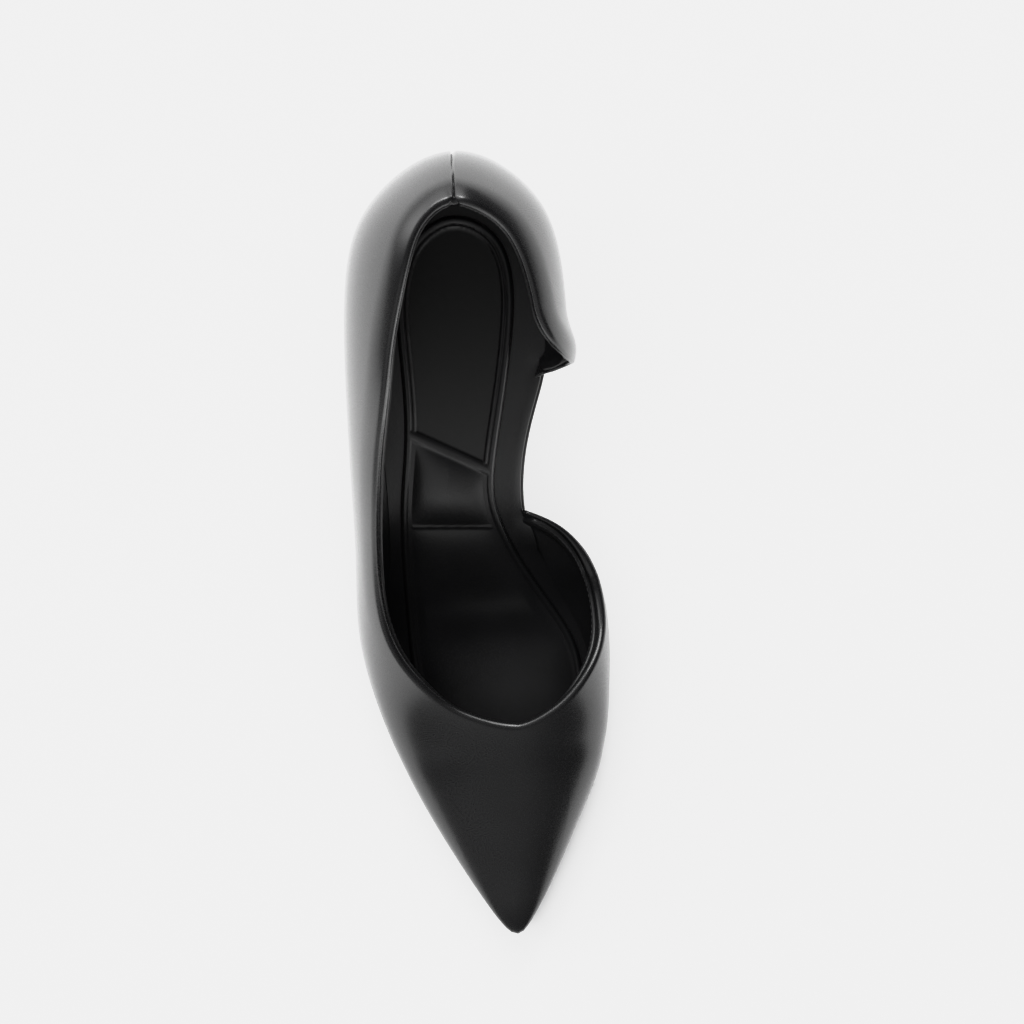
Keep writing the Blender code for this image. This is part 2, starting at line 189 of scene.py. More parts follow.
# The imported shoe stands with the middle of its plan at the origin.
OUTER_REACH = max(SECTION_CURVES["outer"](turn(LENGTH * i / 1000)) for i in range(1001))
LAST_TO_FLOOR = Vector((cad_low.x + OUTER_REACH, cad_high.y - LENGTH, 0.0))


class Station:
    """One cut of the last, from the widest line of a side (outer or inner) towards the ridge on top."""

    def __init__(self, along, side):
        sign = 1 if side == "inner" else -1
        angle = turn(along)
        to_back = LENGTH - along
        self.ridge_along = math.hypot(along, TOE_FAN) - math.hypot(to_back, HEEL_FAN) + to_back
        self.widest = np.array([sign * SECTION_CURVES[side](angle), along])
        to_ridge = np.array([SECTION_CURVES["ridge"](angle), self.ridge_along]) - self.widest
        self.reach = float(np.linalg.norm(to_ridge))
        self.inward = to_ridge / self.reach
        self.tuck = SECTION_CURVES[side + "_tuck"](angle)
        self.feather = self.widest + self.tuck * self.inward
        self.feather_height = bottom_height(self.feather[1])
        self.rise = SECTION_CURVES["rise"](angle)


def feather_edge(along, side, inset):
    """A point inside the feather edge, at right angles to it."""
    station = Station(along, side)
    step = 0.2 * MM
    if step < along < LENGTH - step:
        run = Station(along + step, side).feather - Station(along - step, side).feather
        sign = 1 if side == "inner" else -1
        inward = sign * np.array([-run[1], run[0]]) / np.linalg.norm(run)
    else:
        inward = station.inward
    return station.feather + inset * inward


def places_between_ends(start, end, count):
    """Places along the foot that crowd together at both ends."""
    return [start + (end - start) * (1 - math.cos(math.pi * i / count)) / 2 for i in range(count + 1)]


def grid_mesh(columns, rows):
    """A grid of quads with a mark on each vertex, and its vertices in rows, each row a list."""
    mesh = bmesh.new()
    mesh.verts.layers.int.new("rim")
    mesh.verts.layers.float.new("roll")
    bmesh.ops.create_grid(mesh, x_segments=columns, y_segments=rows, size=1)
    places = sorted(mesh.verts, key=lambda vert: (round(vert.co.y, 5), round(vert.co.x, 5)))
    width = columns + 1
    return mesh, [places[i:i + width] for i in range(0, len(places), width)]


def plate_mesh(places, outer_edge, inner_edge, across, crowding=0.0):
    """A flat sheet between two edges, each a function of the place along the foot.

    With crowding, its lines lie closer together towards both edges.
    """
    mesh, rows = grid_mesh(across, len(places) - 1)
    shares = [i / across for i in range(across + 1)]
    shares = [share - crowding * math.sin(2 * math.pi * share) / (2 * math.pi) for share in shares]
    for along, row in zip(places, rows):
        start, end = outer_edge(along), inner_edge(along)
        for share, vert in zip(shares, row):
            x, y = start + (end - start) * share
            vert.co = x, y, 0.0
    bmesh.ops.remove_doubles(mesh, verts=mesh.verts[:], dist=MERGE)
    return mesh


def only(kind, geometry):
    return [part for part in geometry if isinstance(part, kind)]


def thicken(mesh, lower, upper):
    """Gives a flat sheet a lower and an upper face, at heights that follow the foot's length."""
    base = mesh.verts[:]
    raised = only(bmesh.types.BMVert, bmesh.ops.extrude_face_region(mesh, geom=mesh.faces[:])["geom"])
    for vert in base:
        vert.co.z = lower(vert.co.y)
    for vert in raised:
        vert.co.z = upper(vert.co.y)
    bmesh.ops.recalc_face_normals(mesh, faces=mesh.faces[:])


def sharp_edges(mesh, degrees):
    limit = math.radians(degrees)
    return [edge for edge in mesh.edges if edge.is_manifold and edge.calc_face_angle() > limit]


def round_edges(mesh, edges, radius, segments):
    bmesh.ops.bevel(mesh, geom=edges, offset=radius, offset_type="OFFSET", segments=segments, profile=0.5,
                    affect="EDGES", clamp_overlap=False, material=-1)


def add_node(nodes, kind, inputs):
    """A shader node with its inputs set by name."""
    node = nodes.new("ShaderNode" + kind)
    for name, value in inputs.items():
        node.inputs[name].default_value = value
    return node


def leather(name, black, roughness, grain, relief, coat=0.0):
    """Black leather, thread or rubber: pebbles of the grain's size, fine pores and an uneven shine."""
    material = bpy.data.materials.new(name)
    material.use_nodes = True
    nodes = material.node_tree.nodes
    links = material.node_tree.links
    shader = nodes["Principled BSDF"]
    shader.inputs["Coat Weight"].default_value = coat
    shader.inputs["Coat Roughness"].default_value = COAT_ROUGHNESS
    place = nodes.new("ShaderNodeTexCoord").outputs["Object"]

    pebbles = add_node(nodes, "TexVoronoi", {"Scale": 1 / grain})
    pebbles.feature = "SMOOTH_F1"
    pebbles.inputs["Smoothness"].default_value = 0.6
    pores = add_node(nodes, "TexNoise", {"Scale": 2.2 / grain, "Detail": 3.0})
    clouds = add_node(nodes, "TexNoise", {"Scale": 1 / CLOUD_SIZE, "Detail": 4.0})
    for texture in (pebbles, pores, clouds):
        links.new(place, texture.inputs["Vector"])

    grain_bump = add_node(nodes, "Bump", {"Strength": relief, "Distance": 0.12 * grain})
    grain_bump.invert = True
    pore_bump = add_node(nodes, "Bump", {"Strength": 0.5 * relief, "Distance": 0.08 * grain})
    links.new(pebbles.outputs["Distance"], grain_bump.inputs["Height"])
    links.new(pores.outputs["Fac"], pore_bump.inputs["Height"])
    links.new(grain_bump.outputs["Normal"], pore_bump.inputs["Normal"])
    links.new(pore_bump.outputs["Normal"], shader.inputs["Normal"])

    tone = nodes.new("ShaderNodeValToRGB")
    tone.color_ramp.elements[0].position = 0.3
    tone.color_ramp.elements[0].color = (*(0.75 * part for part in black), 1.0)
    tone.color_ramp.elements[1].position = 0.75
    tone.color_ramp.elements[1].color = (*(1.25 * part for part in black), 1.0)
    links.new(clouds.outputs["Fac"], tone.inputs["Fac"])
    links.new(tone.outputs["Color"], shader.inputs["Base Color"])

    shine = add_node(nodes, "MapRange", {
        "From Min": 0.25, "From Max": 0.75, "To Min": roughness - 0.05, "To Max": roughness + 0.05,
    })
    links.new(pores.outputs["Fac"], shine.inputs["Value"])
    links.new(shine.outputs["Result"], shader.inputs["Roughness"])
    return material


def new_piece(name, mesh, material, node=None):
    """A piece of the shoe from a finished bmesh in the last's own place."""
    bmesh.ops.translate(mesh, verts=mesh.verts[:], vec=LAST_TO_FLOOR)
    data = bpy.data.meshes.new(name)
    mesh.to_mesh(data)
    mesh.free()
    data.shade_smooth()
    data.set_sharp_from_angle(angle=SMOOTH_LIMIT)
    data.materials.append(material)
    piece = bpy.data.objects.new(name, data)
    bpy.context.scene.collection.objects.link(piece)
    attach(piece, "root")
    if node:
        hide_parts(node)
    return piece


def waist_opening(along):
    """1 where the inner side has no wall and 0 where it has one."""
    place = percent_along(along)
    return ease(place, WAIST_OPENS) * (1 - ease(place, WAIST_CLOSES))


def inner_inset(along):
    """How far the board stays inside the feather edge on the inner side."""
    return INSOLE_INSET + waist_opening(along) * (WAIST_INSET - INSOLE_INSET)


def insole_top(along):
    return bottom_height(along) + INSOLE_THICKNESS


def edge_spread(place):
    """How far the board's top edge spreads past its underside, to the lining of the flaring wall."""
    side = "inner" if place.x > 0 else "outer"
    station = Station(place.y, side)
    spread = station.tuck * (1 - (1 - INSOLE_THICKNESS / station.rise) ** 2)
    return spread * (1 - waist_opening(place.y)) if side == "inner" else spread


def is_top_edge(edge):
    return all(abs(vert.co.z - insole_top(vert.co.y)) < SAME_HEIGHT for vert in edge.verts)


insole_mesh = plate_mesh(
    places_between_ends(0.0, LENGTH, 160),
    lambda along: feather_edge(along, "outer", INSOLE_INSET),
    lambda along: feather_edge(along, "inner", inner_inset(along)),
    across=20,
)
thicken(insole_mesh, bottom_height, insole_top)
top_edges = [edge for edge in sharp_edges(insole_mesh, 45) if is_top_edge(edge)]
for vert in {vert for edge in top_edges for vert in edge.verts}:
    outwards = Vector((vert.normal.x, vert.normal.y, 0.0)).normalized()
    vert.co += outwards * edge_spread(vert.co)
    if vert.co.x > 0:
        vert.co.z -= WAIST_FALL * waist_opening(vert.co.y)
waist_edges = [
    edge for edge in top_edges
    if all(vert.co.x > 0 and waist_opening(vert.co.y) > 0.5 for vert in edge.verts)
]
round_edges(insole_mesh, waist_edges, WRAPPED_EDGE, 2)
insole_leather = leather("insole_cover", LINING_BLACK, roughness=0.38, grain=0.55 * MM, relief=0.3)
new_piece("covered_insole", insole_mesh, insole_leather, "insole")

# Upper: vamp and quarters of smooth black calf, pulled over the last and glued under the insole.
# The edge is skived, padded and folded over, so it ends in a round roll along the topline, round the
# throat and down the front of the inner quarter. The quarters are closed by a seam at the back.
UPPER_BLACK = (0.0045, 0.0045, 0.0048)
LEATHER_WALL = 1.25 * MM
ROLL_RADIUS = 1.5 * MM
FRONT_EDGE_RADIUS = 0.9 * MM
RUN_OUT_RADIUS = 0.5 * MM
RUNS_OUT = (48, 57)
FRONT_EDGE_TO_ROLL = (73.3, 77)
ROLL_ROWS = 8
FOLD_WIDTH = 7 * MM
THINNEST = 0.02 * MM
WAIST_CURL = 1.0 * MM
WAIST_CURL_STARTS = (36, 52)
COLLAR_CURL = 1.3 * MM
COLLAR_CURL_STARTS = (66, 78)
CURL_WIDTH = 8 * MM
QUARTER_FLARE = 2.6 * MM
FLARE_UP_WALL = (2 * MM, 12 * MM)
FLARE_ENDS = (74.0, 80.0)
FLARE_MARGIN = 1 * MM
VAMP_TO_QUARTER = (32, 69)
VAMP_POWERS = (2.0, 2.0)
QUARTER_POWERS = (1.7, 1.0)
SEAM_FROM = 85
SEAM_DEPTH = 0.8 * MM
SEAM_HALF_WIDTH = 0.3 * MM
SEAM_NOTCH = 0.9 * MM
SEAM_NOTCH_HALF_WIDTH = 1.3 * MM
SEAM_NOTCH_STARTS = (90, 93)

# Ridge of the last in side view, over the instep, in the columns of the underside
RIDGE = (
    (5.0, 20.5),
    (9.0, 24.5),
    (15.0, 30.5),
    (23.0, 38.5),
    (28.0, 43.8),
    (32.0, 49.8),
    (36.0, 59.5),
    (41.0, 74.8),
    (46.0, 92.0),
    (50.0, 106.5),
    (56.0, 127.0),
    (62.0, 143.0),
    (70.0, 157.0),
    (78.0, 165.5),
    (86.5, 173.0),
)

# Top edges of the upper. along is percent of the length. wrap says how far up the last the leather
# ends: 0 is the feather edge, 1 the widest line and 2 the ridge. Outer edge and vamp edge start at
# the throat.
TOPLINE_COLUMNS = ("along", "wrap")
OUTER_TOPLINE = (
    (28.85, 2.0),
    (29.8, 1.83),
    (31.0, 1.727),
    (34.5, 1.569),
    (39.6, 1.425),
    (44.9, 1.335),
    (51.4, 1.275),
    (59.0, 1.265),
    (65.2, 1.285),
    (71.5, 1.335),
    (77.7, 1.38),
    (84.2, 1.44),
    (90.0, 1.475),
    (96.9, 1.465),
    (100.0, 1.45),
)
INNER_VAMP_TOPLINE = (
    (28.85, 2.0),
    (29.6, 1.835),
    (30.9, 1.69),
    (34.6, 1.425),
    (39.3, 1.195),
    (42.6, 1.095),
    (44.2, 1.054),
    (45.4, 1.027),
    (46.4, 1.006),
    (47.0, 0.974),
    (47.8, 0.905),
    (48.6, 0.84),
    (51.7, 0.57),
    (54.7, 0.30),
    (57.2, 0.04),
)
INNER_QUARTER_TOPLINE = (
    (73.3, 1.0),
    (76.9, 1.225),
    (82.1, 1.275),
    (88.6, 1.33),
    (94.4, 1.395),
    (98.5, 1.44),
    (100.0, 1.45),
)

# The wall is a grid of lines that start on the toe or the feather edge. Up to the fan's end they spread
# from the toe, and beyond it they run straight up. On the inner quarter they lean to its front edge.
TOE_WALL = 22 * MM
FAN_END = 100 * MM
TOE_LINES_END = 60 * MM
FAN_CROWDING = 1.4
ROW_CROWDING = 1.25
FRONT_LEAN = 0.85
FRONT_EDGE_FOOT = 0.02
CROWN_LEVELS = 3.0

# Lines beside the back seam, by their distance from it in millimetres, and the width they take up
SEAM_LINES = (1.3, 0.95, 0.7, 0.5, 0.36, 0.24, 0.12, 0.0)
SEAM_LINES_WIDTH = 1.7 * MM

THROAT = LENGTH * OUTER_TOPLINE[0][0] / 100
VAMP_CORNER = LENGTH * INNER_VAMP_TOPLINE[-1][0] / 100
QUARTER_FRONT = LENGTH * INNER_QUARTER_TOPLINE[0][0] / 100
ridge_height = profile_curve(RIDGE)


def topline_curve(rows):
    """Wrap value of a top edge, smooth in the square root of the way from its first row."""
    start = rows[0][0]
    curve = natural_spline(
        [math.sqrt(percent - start) for percent in column(rows, TOPLINE_COLUMNS, "along")],
        column(rows, TOPLINE_COLUMNS, "wrap"),
    )
    return lambda along: curve(math.sqrt(max(0.0, percent_along(along) - start)))


def ridge_slope(along):
    step = 1 * MM
    return (ridge_height(along + step) - ridge_height(along - step)) / (2 * step)


def wall_point(along, side, wrap):
    """The last's surface at a place along one side and a wrap value."""
    station = Station(along, side)
    height = station.feather_height
    if wrap <= 1:
        offset = station.tuck * (1 - wrap) ** 2
        height += station.rise * wrap
    else:
        blend = ease(percent_along(along), VAMP_TO_QUARTER)
        climb_power, side_power = (
            vamp + blend * (quarter - vamp) for vamp, quarter in zip(VAMP_POWERS, QUARTER_POWERS)
        )
        crown = ridge_height(station.ridge_along) - station.feather_height - station.rise
        climb = math.sin(math.pi / 2 * min(1.0, wrap - 1))
        narrowing = max(0.0, 1 - climb ** climb_power) ** (1 / side_power)
        offset = station.reach * (1 - narrowing)
        toe_lean = (1 - blend) * ridge_slope(station.ridge_along) * station.inward[1]
        height += station.rise + crown * climb - toe_lean * station.reach * narrowing * climb ** 2
    x, y = station.widest + offset * station.inward
    return x, y, height


def path_lengths(path):
    steps = np.linalg.norm(np.diff(np.array(path), axis=0), axis=1)
    return np.concatenate(([0.0], np.cumsum(steps)))


def roll_radius(side, along):
    """Half the thickness of the folded edge, by the place of the rim."""
    place = percent_along(along)
    if side == "outer":
        return ROLL_RADIUS
    if along <= VAMP_CORNER:
        return ROLL_RADIUS + ease(place, RUNS_OUT) * (RUN_OUT_RADIUS - ROLL_RADIUS)
    return FRONT_EDGE_RADIUS + ease(place, FRONT_EDGE_TO_ROLL) * (ROLL_RADIUS - FRONT_EDGE_RADIUS)


def level_at(wrap):
    """A wrap value as a height up the last, counted in heights of the wall below the widest line."""
    return wrap if wrap <= 1 else 1 + CROWN_LEVELS * math.sin(math.pi / 2 * (wrap - 1))


def wrap_at_level(level):
    return level if level <= 1 else 1 + 2 / math.pi * math.asin(min(1.0, (level - 1) / CROWN_LEVELS))


def wall_line(side, root, rim, trim, rows):
    """Points of the wall from its rim down to a root on the last, or none where the line is short.

    root and rim are (along, wrap) pairs, and the line stops short of the rim by the trim. The first
    points follow the round of the roll in even steps.
    """
    power = 1 + (1 - ease(root[0], (0.0, TOE_LINES_END))) * (1 - root[1] / 2)
    low, high = level_at(root[1]), level_at(rim[1])

    def point(share):
        along = root[0] + (rim[0] - root[0]) * share ** power
        return wall_point(along, side, wrap_at_level(low + (high - low) * share))

    shares = np.linspace(0, 1, 60)
    run = path_lengths([point(share) for share in shares])
    total = run[-1] - trim
    roll = min(roll_radius(side, rim[0]), total / 3)
    lengths = [roll * (1 - math.cos(math.pi / 2 * i / ROLL_ROWS)) for i in range(ROLL_ROWS)]
    lower_rows = rows - ROLL_ROWS
    lengths += [roll + (total - roll) * (i / lower_rows) ** ROW_CROWDING for i in range(lower_rows + 1)]
    return [point(share) for share in np.interp(total - np.array(lengths), run, shares)]


def rim_places(side, rim, spacing, ends_at_seam):
    """Even (along, wrap) pairs and distances along a rim, close together at the back seam."""
    run = path_lengths([wall_point(along, side, wrap) for along, wrap in rim])
    total = run[-1]
    count = round(total / spacing)
    distances = [total * i / count for i in range(count + 1)]
    if ends_at_seam:
        distances = [distance for distance in distances if distance < total - SEAM_LINES_WIDTH]
        distances += [total - distance * MM for distance in SEAM_LINES]
    along = np.interp(distances, run, [pair[0] for pair in rim])
    wrap = np.interp(distances, run, [pair[1] for pair in rim])
    return list(zip(along, wrap)), distances


def toe_roots(rim, distances):
    """Where the lines of a vamp start: down the middle of the toe, along the feather edge, then level.

    The line of the throat starts at the top of the toe and runs along the ridge.
    """
    fan = next(distance for (along, _), distance in zip(rim, distances) if along >= FAN_END)
    roots = []
    for (along, wrap), distance in zip(rim, distances):
        way = (TOE_WALL + FAN_END) * distance / fan
        if along >= FAN_END:
            roots.append((along, 0.0))
        elif way < TOE_WALL:
            roots.append((0.0, 2.0 - 2.0 * way / TOE_WALL))
        else:
            roots.append((FAN_END * ((way - TOE_WALL) / FAN_END) ** FAN_CROWDING, 0.0))
    return roots


def quarter_roots(distances):
    """Where the lines of the inner quarter start on the feather edge, spread out behind its front edge."""
    span = LENGTH - QUARTER_FRONT
    shares = [(distance / distances[-1]) ** FRONT_LEAN for distance in distances]
    return [(QUARTER_FRONT + span * share, 0.0) for share in shares]


def edge_curve(rows, start, end, count=300):
    """A top edge as (along, wrap) pairs."""
    wrap_at = topline_curve(rows)
    return [(along, wrap_at(along)) for along in places_between_ends(start, end, count)]


def wall_sheet(spacing, rows, trim, shortest):
    """Outer face of the upper as one open sheet, its faces out and its free edge numbered along the rim.

    The sheet is a grid of lines that run up the last to its free edge, which ends lower than the
    topline by the trim, a function of the place across at the heel.
    """
    front_edge = [(QUARTER_FRONT, wrap) for wrap in np.linspace(FRONT_EDGE_FOOT, 1.0, 40)]
    outer_rim = edge_curve(OUTER_TOPLINE, THROAT, LENGTH)
    vamp_rim = edge_curve(INNER_VAMP_TOPLINE, THROAT, VAMP_CORNER)
    quarter_rim = front_edge + edge_curve(INNER_QUARTER_TOPLINE, QUARTER_FRONT, LENGTH)[1:]
    outer, outer_run = rim_places("outer", outer_rim, spacing, ends_at_seam=True)
    vamp, vamp_run = rim_places("inner", vamp_rim, spacing, ends_at_seam=False)
    quarter, quarter_run = rim_places("inner", quarter_rim, spacing, ends_at_seam=True)
    strips = (
        ("outer", toe_roots(outer, outer_run), outer),
        ("inner", toe_roots(vamp, vamp_run), vamp),
        ("inner", quarter_roots(quarter_run), quarter),
    )
    sheet = bmesh.new()
    number = 0
    for side, roots, rims in strips:
        lines = []
        for root, rim in zip(roots, rims):
            top = wall_point(rim[0], side, rim[1])
            line = wall_line(side, root, rim, trim(top), rows)
            if path_lengths(line)[-1] > shortest:
                lines.append((line, roll_radius(side, rim[0])))
        mesh, grid = grid_mesh(rows, len(lines) - 1)
        free = mesh.verts.layers.int["rim"]
        rounding = mesh.verts.layers.float["roll"]
        number += 1
        for (line, radius), verts in zip(lines, grid):
            for vert, point in zip(verts, line):
                vert.co = point
                vert[rounding] = radius
            number += 1
            verts[0][free] = number
        scratch = bpy.data.meshes.new("strip")
        mesh.to_mesh(scratch)
        mesh.free()
        sheet.from_mesh(scratch)
        bpy.data.meshes.remove(scratch)
    bmesh.ops.remove_doubles(sheet, verts=sheet.verts[:], dist=MERGE / 4)
    bmesh.ops.recalc_face_normals(sheet, faces=sheet.faces[:])
    widest = max(sheet.faces, key=lambda face: face.calc_center_median().x)
    if widest.normal.x < 0:
        bmesh.ops.reverse_faces(sheet, faces=sheet.faces[:])
    return sheet


def rim_distances(sheet):
    """How far each vertex of a sheet lies from its free edge."""
    rim = sheet.verts.layers.int["rim"]
    boundary = [edge for edge in sheet.edges if edge.is_boundary]
    free_edges = [edge for edge in boundary if all(vert[rim] for vert in edge.verts)]
    shares = (0.0, 0.25, 0.5, 0.75, 1.0)
    tree = KDTree(len(free_edges) * len(shares))
    for i, edge in enumerate(free_edges):
        for share in shares:
            tree.insert(edge.verts[0].co.lerp(edge.verts[1].co, share), i)
    tree.balance()
    return [tree.find(vert.co)[2] for vert in sheet.verts]


def press_in(sheet, depths):
    """Moves each vertex of a sheet inwards by its own depth."""
    sheet.normal_update()
    for vert, place in [(vert, vert.co - vert.normal * depth) for vert, depth in zip(sheet.verts, depths)]:
        vert.co = place
    sheet.normal_update()


def edge_rounding(distance, radius):
    """How far the face of a round edge falls back at a distance from the edge's end."""
    if distance >= radius:
        return 0.0
    return radius - math.sqrt(radius ** 2 - (radius - distance) ** 2)


def fold_thickness(distance, radius):
    """The upper's wall: two leathers and the padding in the fold, one leather below it."""
    below_fold = ease(distance, (0.5 * FOLD_WIDTH, FOLD_WIDTH))
    return 2 * radius + below_fold * (LEATHER_WALL - 2 * radius)


def give_wall(sheet, depths, walls):
    """Gives a sheet a wall, which starts at a depth under it. Both are lists by vertex."""
    start = sheet.verts.layers.float_vector.new("start")
    inwards = sheet.verts.layers.float_vector.new("inwards")
    for vert, depth, wall in zip(sheet.verts, depths, walls):
        vert[start] = vert.co - vert.normal * depth
        vert[inwards] = -vert.normal * max(wall, THINNEST)
    outer_face = sheet.verts[:]
    moved = bmesh.ops.extrude_face_region(sheet, geom=sheet.faces[:])["geom"]
    for vert in outer_face:
        vert.co = vert[start]
    for vert in only(bmesh.types.BMVert, moved):
        vert.co = vert[start] + vert[inwards]
    bmesh.ops.recalc_face_normals(sheet, faces=sheet.faces[:])


def seam_notch(top):
    """The topline dips where the back seam ends in it."""
    near_back = ease(percent_along(top[1]), SEAM_NOTCH_STARTS)
    return near_back * SEAM_NOTCH * math.exp(-(top[0] / SEAM_NOTCH_HALF_WIDTH) ** 2)


def seam_groove(place):
    """Depth of the back seam's groove at a point of the upper."""
    if percent_along(place.y) < SEAM_FROM:
        return 0.0
    return SEAM_DEPTH * math.exp(-(place.x / SEAM_HALF_WIDTH) ** 2)


def collar_curl(place, distance):
    """The quarters curl inwards along the topline, most of all round the heel."""
    percent = percent_along(place.y)
    curl = WAIST_CURL * ease(percent, WAIST_CURL_STARTS) + COLLAR_CURL * ease(percent, COLLAR_CURL_STARTS)
    return curl * (1 - min(1.0, distance / CURL_WIDTH)) ** 2


def quarter_flare(place):
    """The inner quarter stands out a little at its front, where nothing holds it."""
    if place.x < 0 or place.y < QUARTER_FRONT - FLARE_MARGIN:
        return 0.0
    up_the_wall = ease(place.z - bottom_height(place.y), FLARE_UP_WALL)
    return QUARTER_FLARE * up_the_wall * (1 - ease(percent_along(place.y), FLARE_ENDS))


# Where the vamp bends with the ball of the foot it has a soft hollow on each side. Each row is a hollow:
# its middle (side and along), its half width across and along the foot, and its depth, in millimetres.
VAMP_HOLLOWS = (
    (-20.5, 55.5, 9.0, 5.0, 0.35),
    (24.5, 57.0, 9.0, 4.5, 0.45),
)


def vamp_hollow(place):
    """Depth of the soft hollows at a point of the vamp."""
    total = 0.0
    for side, along, across, length, depth in VAMP_HOLLOWS:
        span = ((place.x / MM - side) / across) ** 2 + ((place.y / MM - along) / length) ** 2
        total += depth * MM * math.exp(-span)
    return total


upper_mesh = wall_sheet(spacing=0.9 * MM, rows=54, trim=seam_notch, shortest=0.5 * MM)
press_in(upper_mesh, [
    seam_groove(vert.co) + collar_curl(vert.co, distance) + vamp_hollow(vert.co) - quarter_flare(vert.co)
    for vert, distance in zip(upper_mesh.verts, rim_distances(upper_mesh))
])
roll = upper_mesh.verts.layers.float["roll"]
roundings = []
walls = []
for vert, distance in zip(upper_mesh.verts, rim_distances(upper_mesh)):
    roundings.append(edge_rounding(distance, vert[roll]))
    walls.append(fold_thickness(distance, vert[roll]) - 2 * roundings[-1])
give_wall(upper_mesh, roundings, walls)
calf = leather("upper_leather", UPPER_BLACK, roughness=0.27, grain=0.6 * MM, relief=0.1, coat=0.15)
new_piece("calf_upper", upper_mesh, calf, "upper")

# Lining: thin black goat leather glued inside the upper and stitched to it just below the roll.
# Its own edge is folded and ends a little lower, so it shows as a narrow second band inside the roll.
LINING_WALL = 0.7 * MM
LINING_EDGE_RADIUS = 0.75 * MM
VAMP_SETBACK = 1.5 * MM
COLLAR_SETBACK = 0.7 * MM
SETBACK_CHANGES = (48, 64)
LINING_THINS = (2 * MM, 5 * MM)
LINING_GAP = 0.05 * MM


def lining_setback(along):
    """How far below the topline the lining ends. It comes up higher in the quarters."""
    return VAMP_SETBACK + ease(percent_along(along), SETBACK_CHANGES) * (COLLAR_SETBACK - VAMP_SETBACK)


def lining_depth(distance, radius):
    """Depth of the lining's outer face under the upper's, by the distance below the topline."""
    return LINING_GAP + fold_thickness(distance, radius)


lining_mesh = wall_sheet(
    spacing=1.2 * MM, rows=44, trim=lambda top: lining_setback(top[1]) + seam_notch(top), shortest=4 * MM,
)
press_in(lining_mesh, [
    collar_curl(vert.co, distance + lining_setback(vert.co.y)) - quarter_flare(vert.co)
    for vert, distance in zip(lining_mesh.verts, rim_distances(lining_mesh))
])
roll = lining_mesh.verts.layers.float["roll"]
depths = []
walls = []
for vert, distance in zip(lining_mesh.verts, rim_distances(lining_mesh)):
    rounding = edge_rounding(distance, LINING_EDGE_RADIUS)
    thinning = ease(distance, LINING_THINS)
    wall = 2 * LINING_EDGE_RADIUS + thinning * (LINING_WALL - 2 * LINING_EDGE_RADIUS)
    depths.append(lining_depth(distance + lining_setback(vert.co.y), vert[roll]) + rounding)
    walls.append(wall - 2 * rounding)
give_wall(lining_mesh, depths, walls)
goat = leather("lining_leather", LINING_BLACK, roughness=0.4, grain=0.5 * MM, relief=0.3)
new_piece("goat_lining", lining_mesh, goat)

# Topline stitches: one row of black polyester thread through the folded edge of the lining and the roll,
# each stitch a short round bar that sinks a little into the leather.
STITCH_PITCH = 1.9 * MM
STITCH_SHARE = 0.72
STITCH_RANGE = (0.6 * STITCH_PITCH, 1.5 * STITCH_PITCH)
STITCH_DROP = 0.55 * MM
THREAD = 0.34 * MM
THREAD_LIFT = 0.1 * MM
THREAD_BLACK = (0.014, 0.014, 0.015)


def add_stitch(mesh, middle, direction, length):
    """A round bar of thread along a direction."""
    turned = direction.to_track_quat("Z", "X").to_matrix().to_4x4()
    stretched = Matrix.Diagonal((1.0, 1.0, length / THREAD, 1.0))
    bmesh.ops.create_uvsphere(
        mesh, u_segments=6, v_segments=6, radius=THREAD / 2,
        matrix=Matrix.Translation(middle) @ turned @ stretched,
    )


stitch_guide = wall_sheet(
    spacing=STITCH_PITCH, rows=16, shortest=5 * MM,
    trim=lambda top: lining_setback(top[1]) + STITCH_DROP + seam_notch(top),
)
press_in(stitch_guide, [
    collar_curl(vert.co, distance + lining_setback(vert.co.y) + STITCH_DROP) - quarter_flare(vert.co)
    for vert, distance in zip(stitch_guide.verts, rim_distances(stitch_guide))
])
rim = stitch_guide.verts.layers.int["rim"]
roll = stitch_guide.verts.layers.float["roll"]
needle_holes = []
for vert in sorted((vert for vert in stitch_guide.verts if vert[rim]), key=lambda vert: vert[rim]):
    depth = lining_depth(lining_setback(vert.co.y) + STITCH_DROP, vert[roll]) + 2 * LINING_EDGE_RADIUS
    needle_holes.append((vert[rim], vert.co - vert.normal * (depth - THREAD_LIFT)))
stitch_guide.free()
stitch_mesh = bmesh.new()
for (number, start), (next_number, end) in zip(needle_holes, needle_holes[1:]):
    length = (end - start).length
    if next_number == number + 1 and STITCH_RANGE[0] < length < STITCH_RANGE[1]:
        add_stitch(stitch_mesh, start.lerp(end, 0.5), end - start, STITCH_SHARE * length)
thread = leather("thread", THREAD_BLACK, roughness=0.45, grain=0.25 * MM, relief=0.3)
new_piece("topline_stitches", stitch_mesh, thread)

# Outsole: black sole leather cemented under the lasted upper, 3.5 mm at the tread and skived to 2.2 mm
# at the waist, up to the heel breast. Its edge is trimmed, inked and burnished.
TREAD_THICKNESS = 3.5 * MM
WAIST_THICKNESS = 2.2 * MM
TREAD_TO_WAIST = (32, 50)
SOLE_OVERHANG = 0.5 * MM
SOLE_GAP = 0.3 * MM
SOLE_EDGE_RADIUS = 0.45 * MM
SOLE_BLACK = (0.008, 0.0077, 0.0074)
TIP_CROWDING = 1.7
SOLE_ROWS = 120
BREAST = LENGTH * 0.80


def sole_underside(along):
    thinning = ease(percent_along(along), TREAD_TO_WAIST)
    thickness = TREAD_THICKNESS + thinning * (WAIST_THICKNESS - TREAD_THICKNESS)
    return max(0.0, bottom_height(along) - SOLE_GAP - thickness)


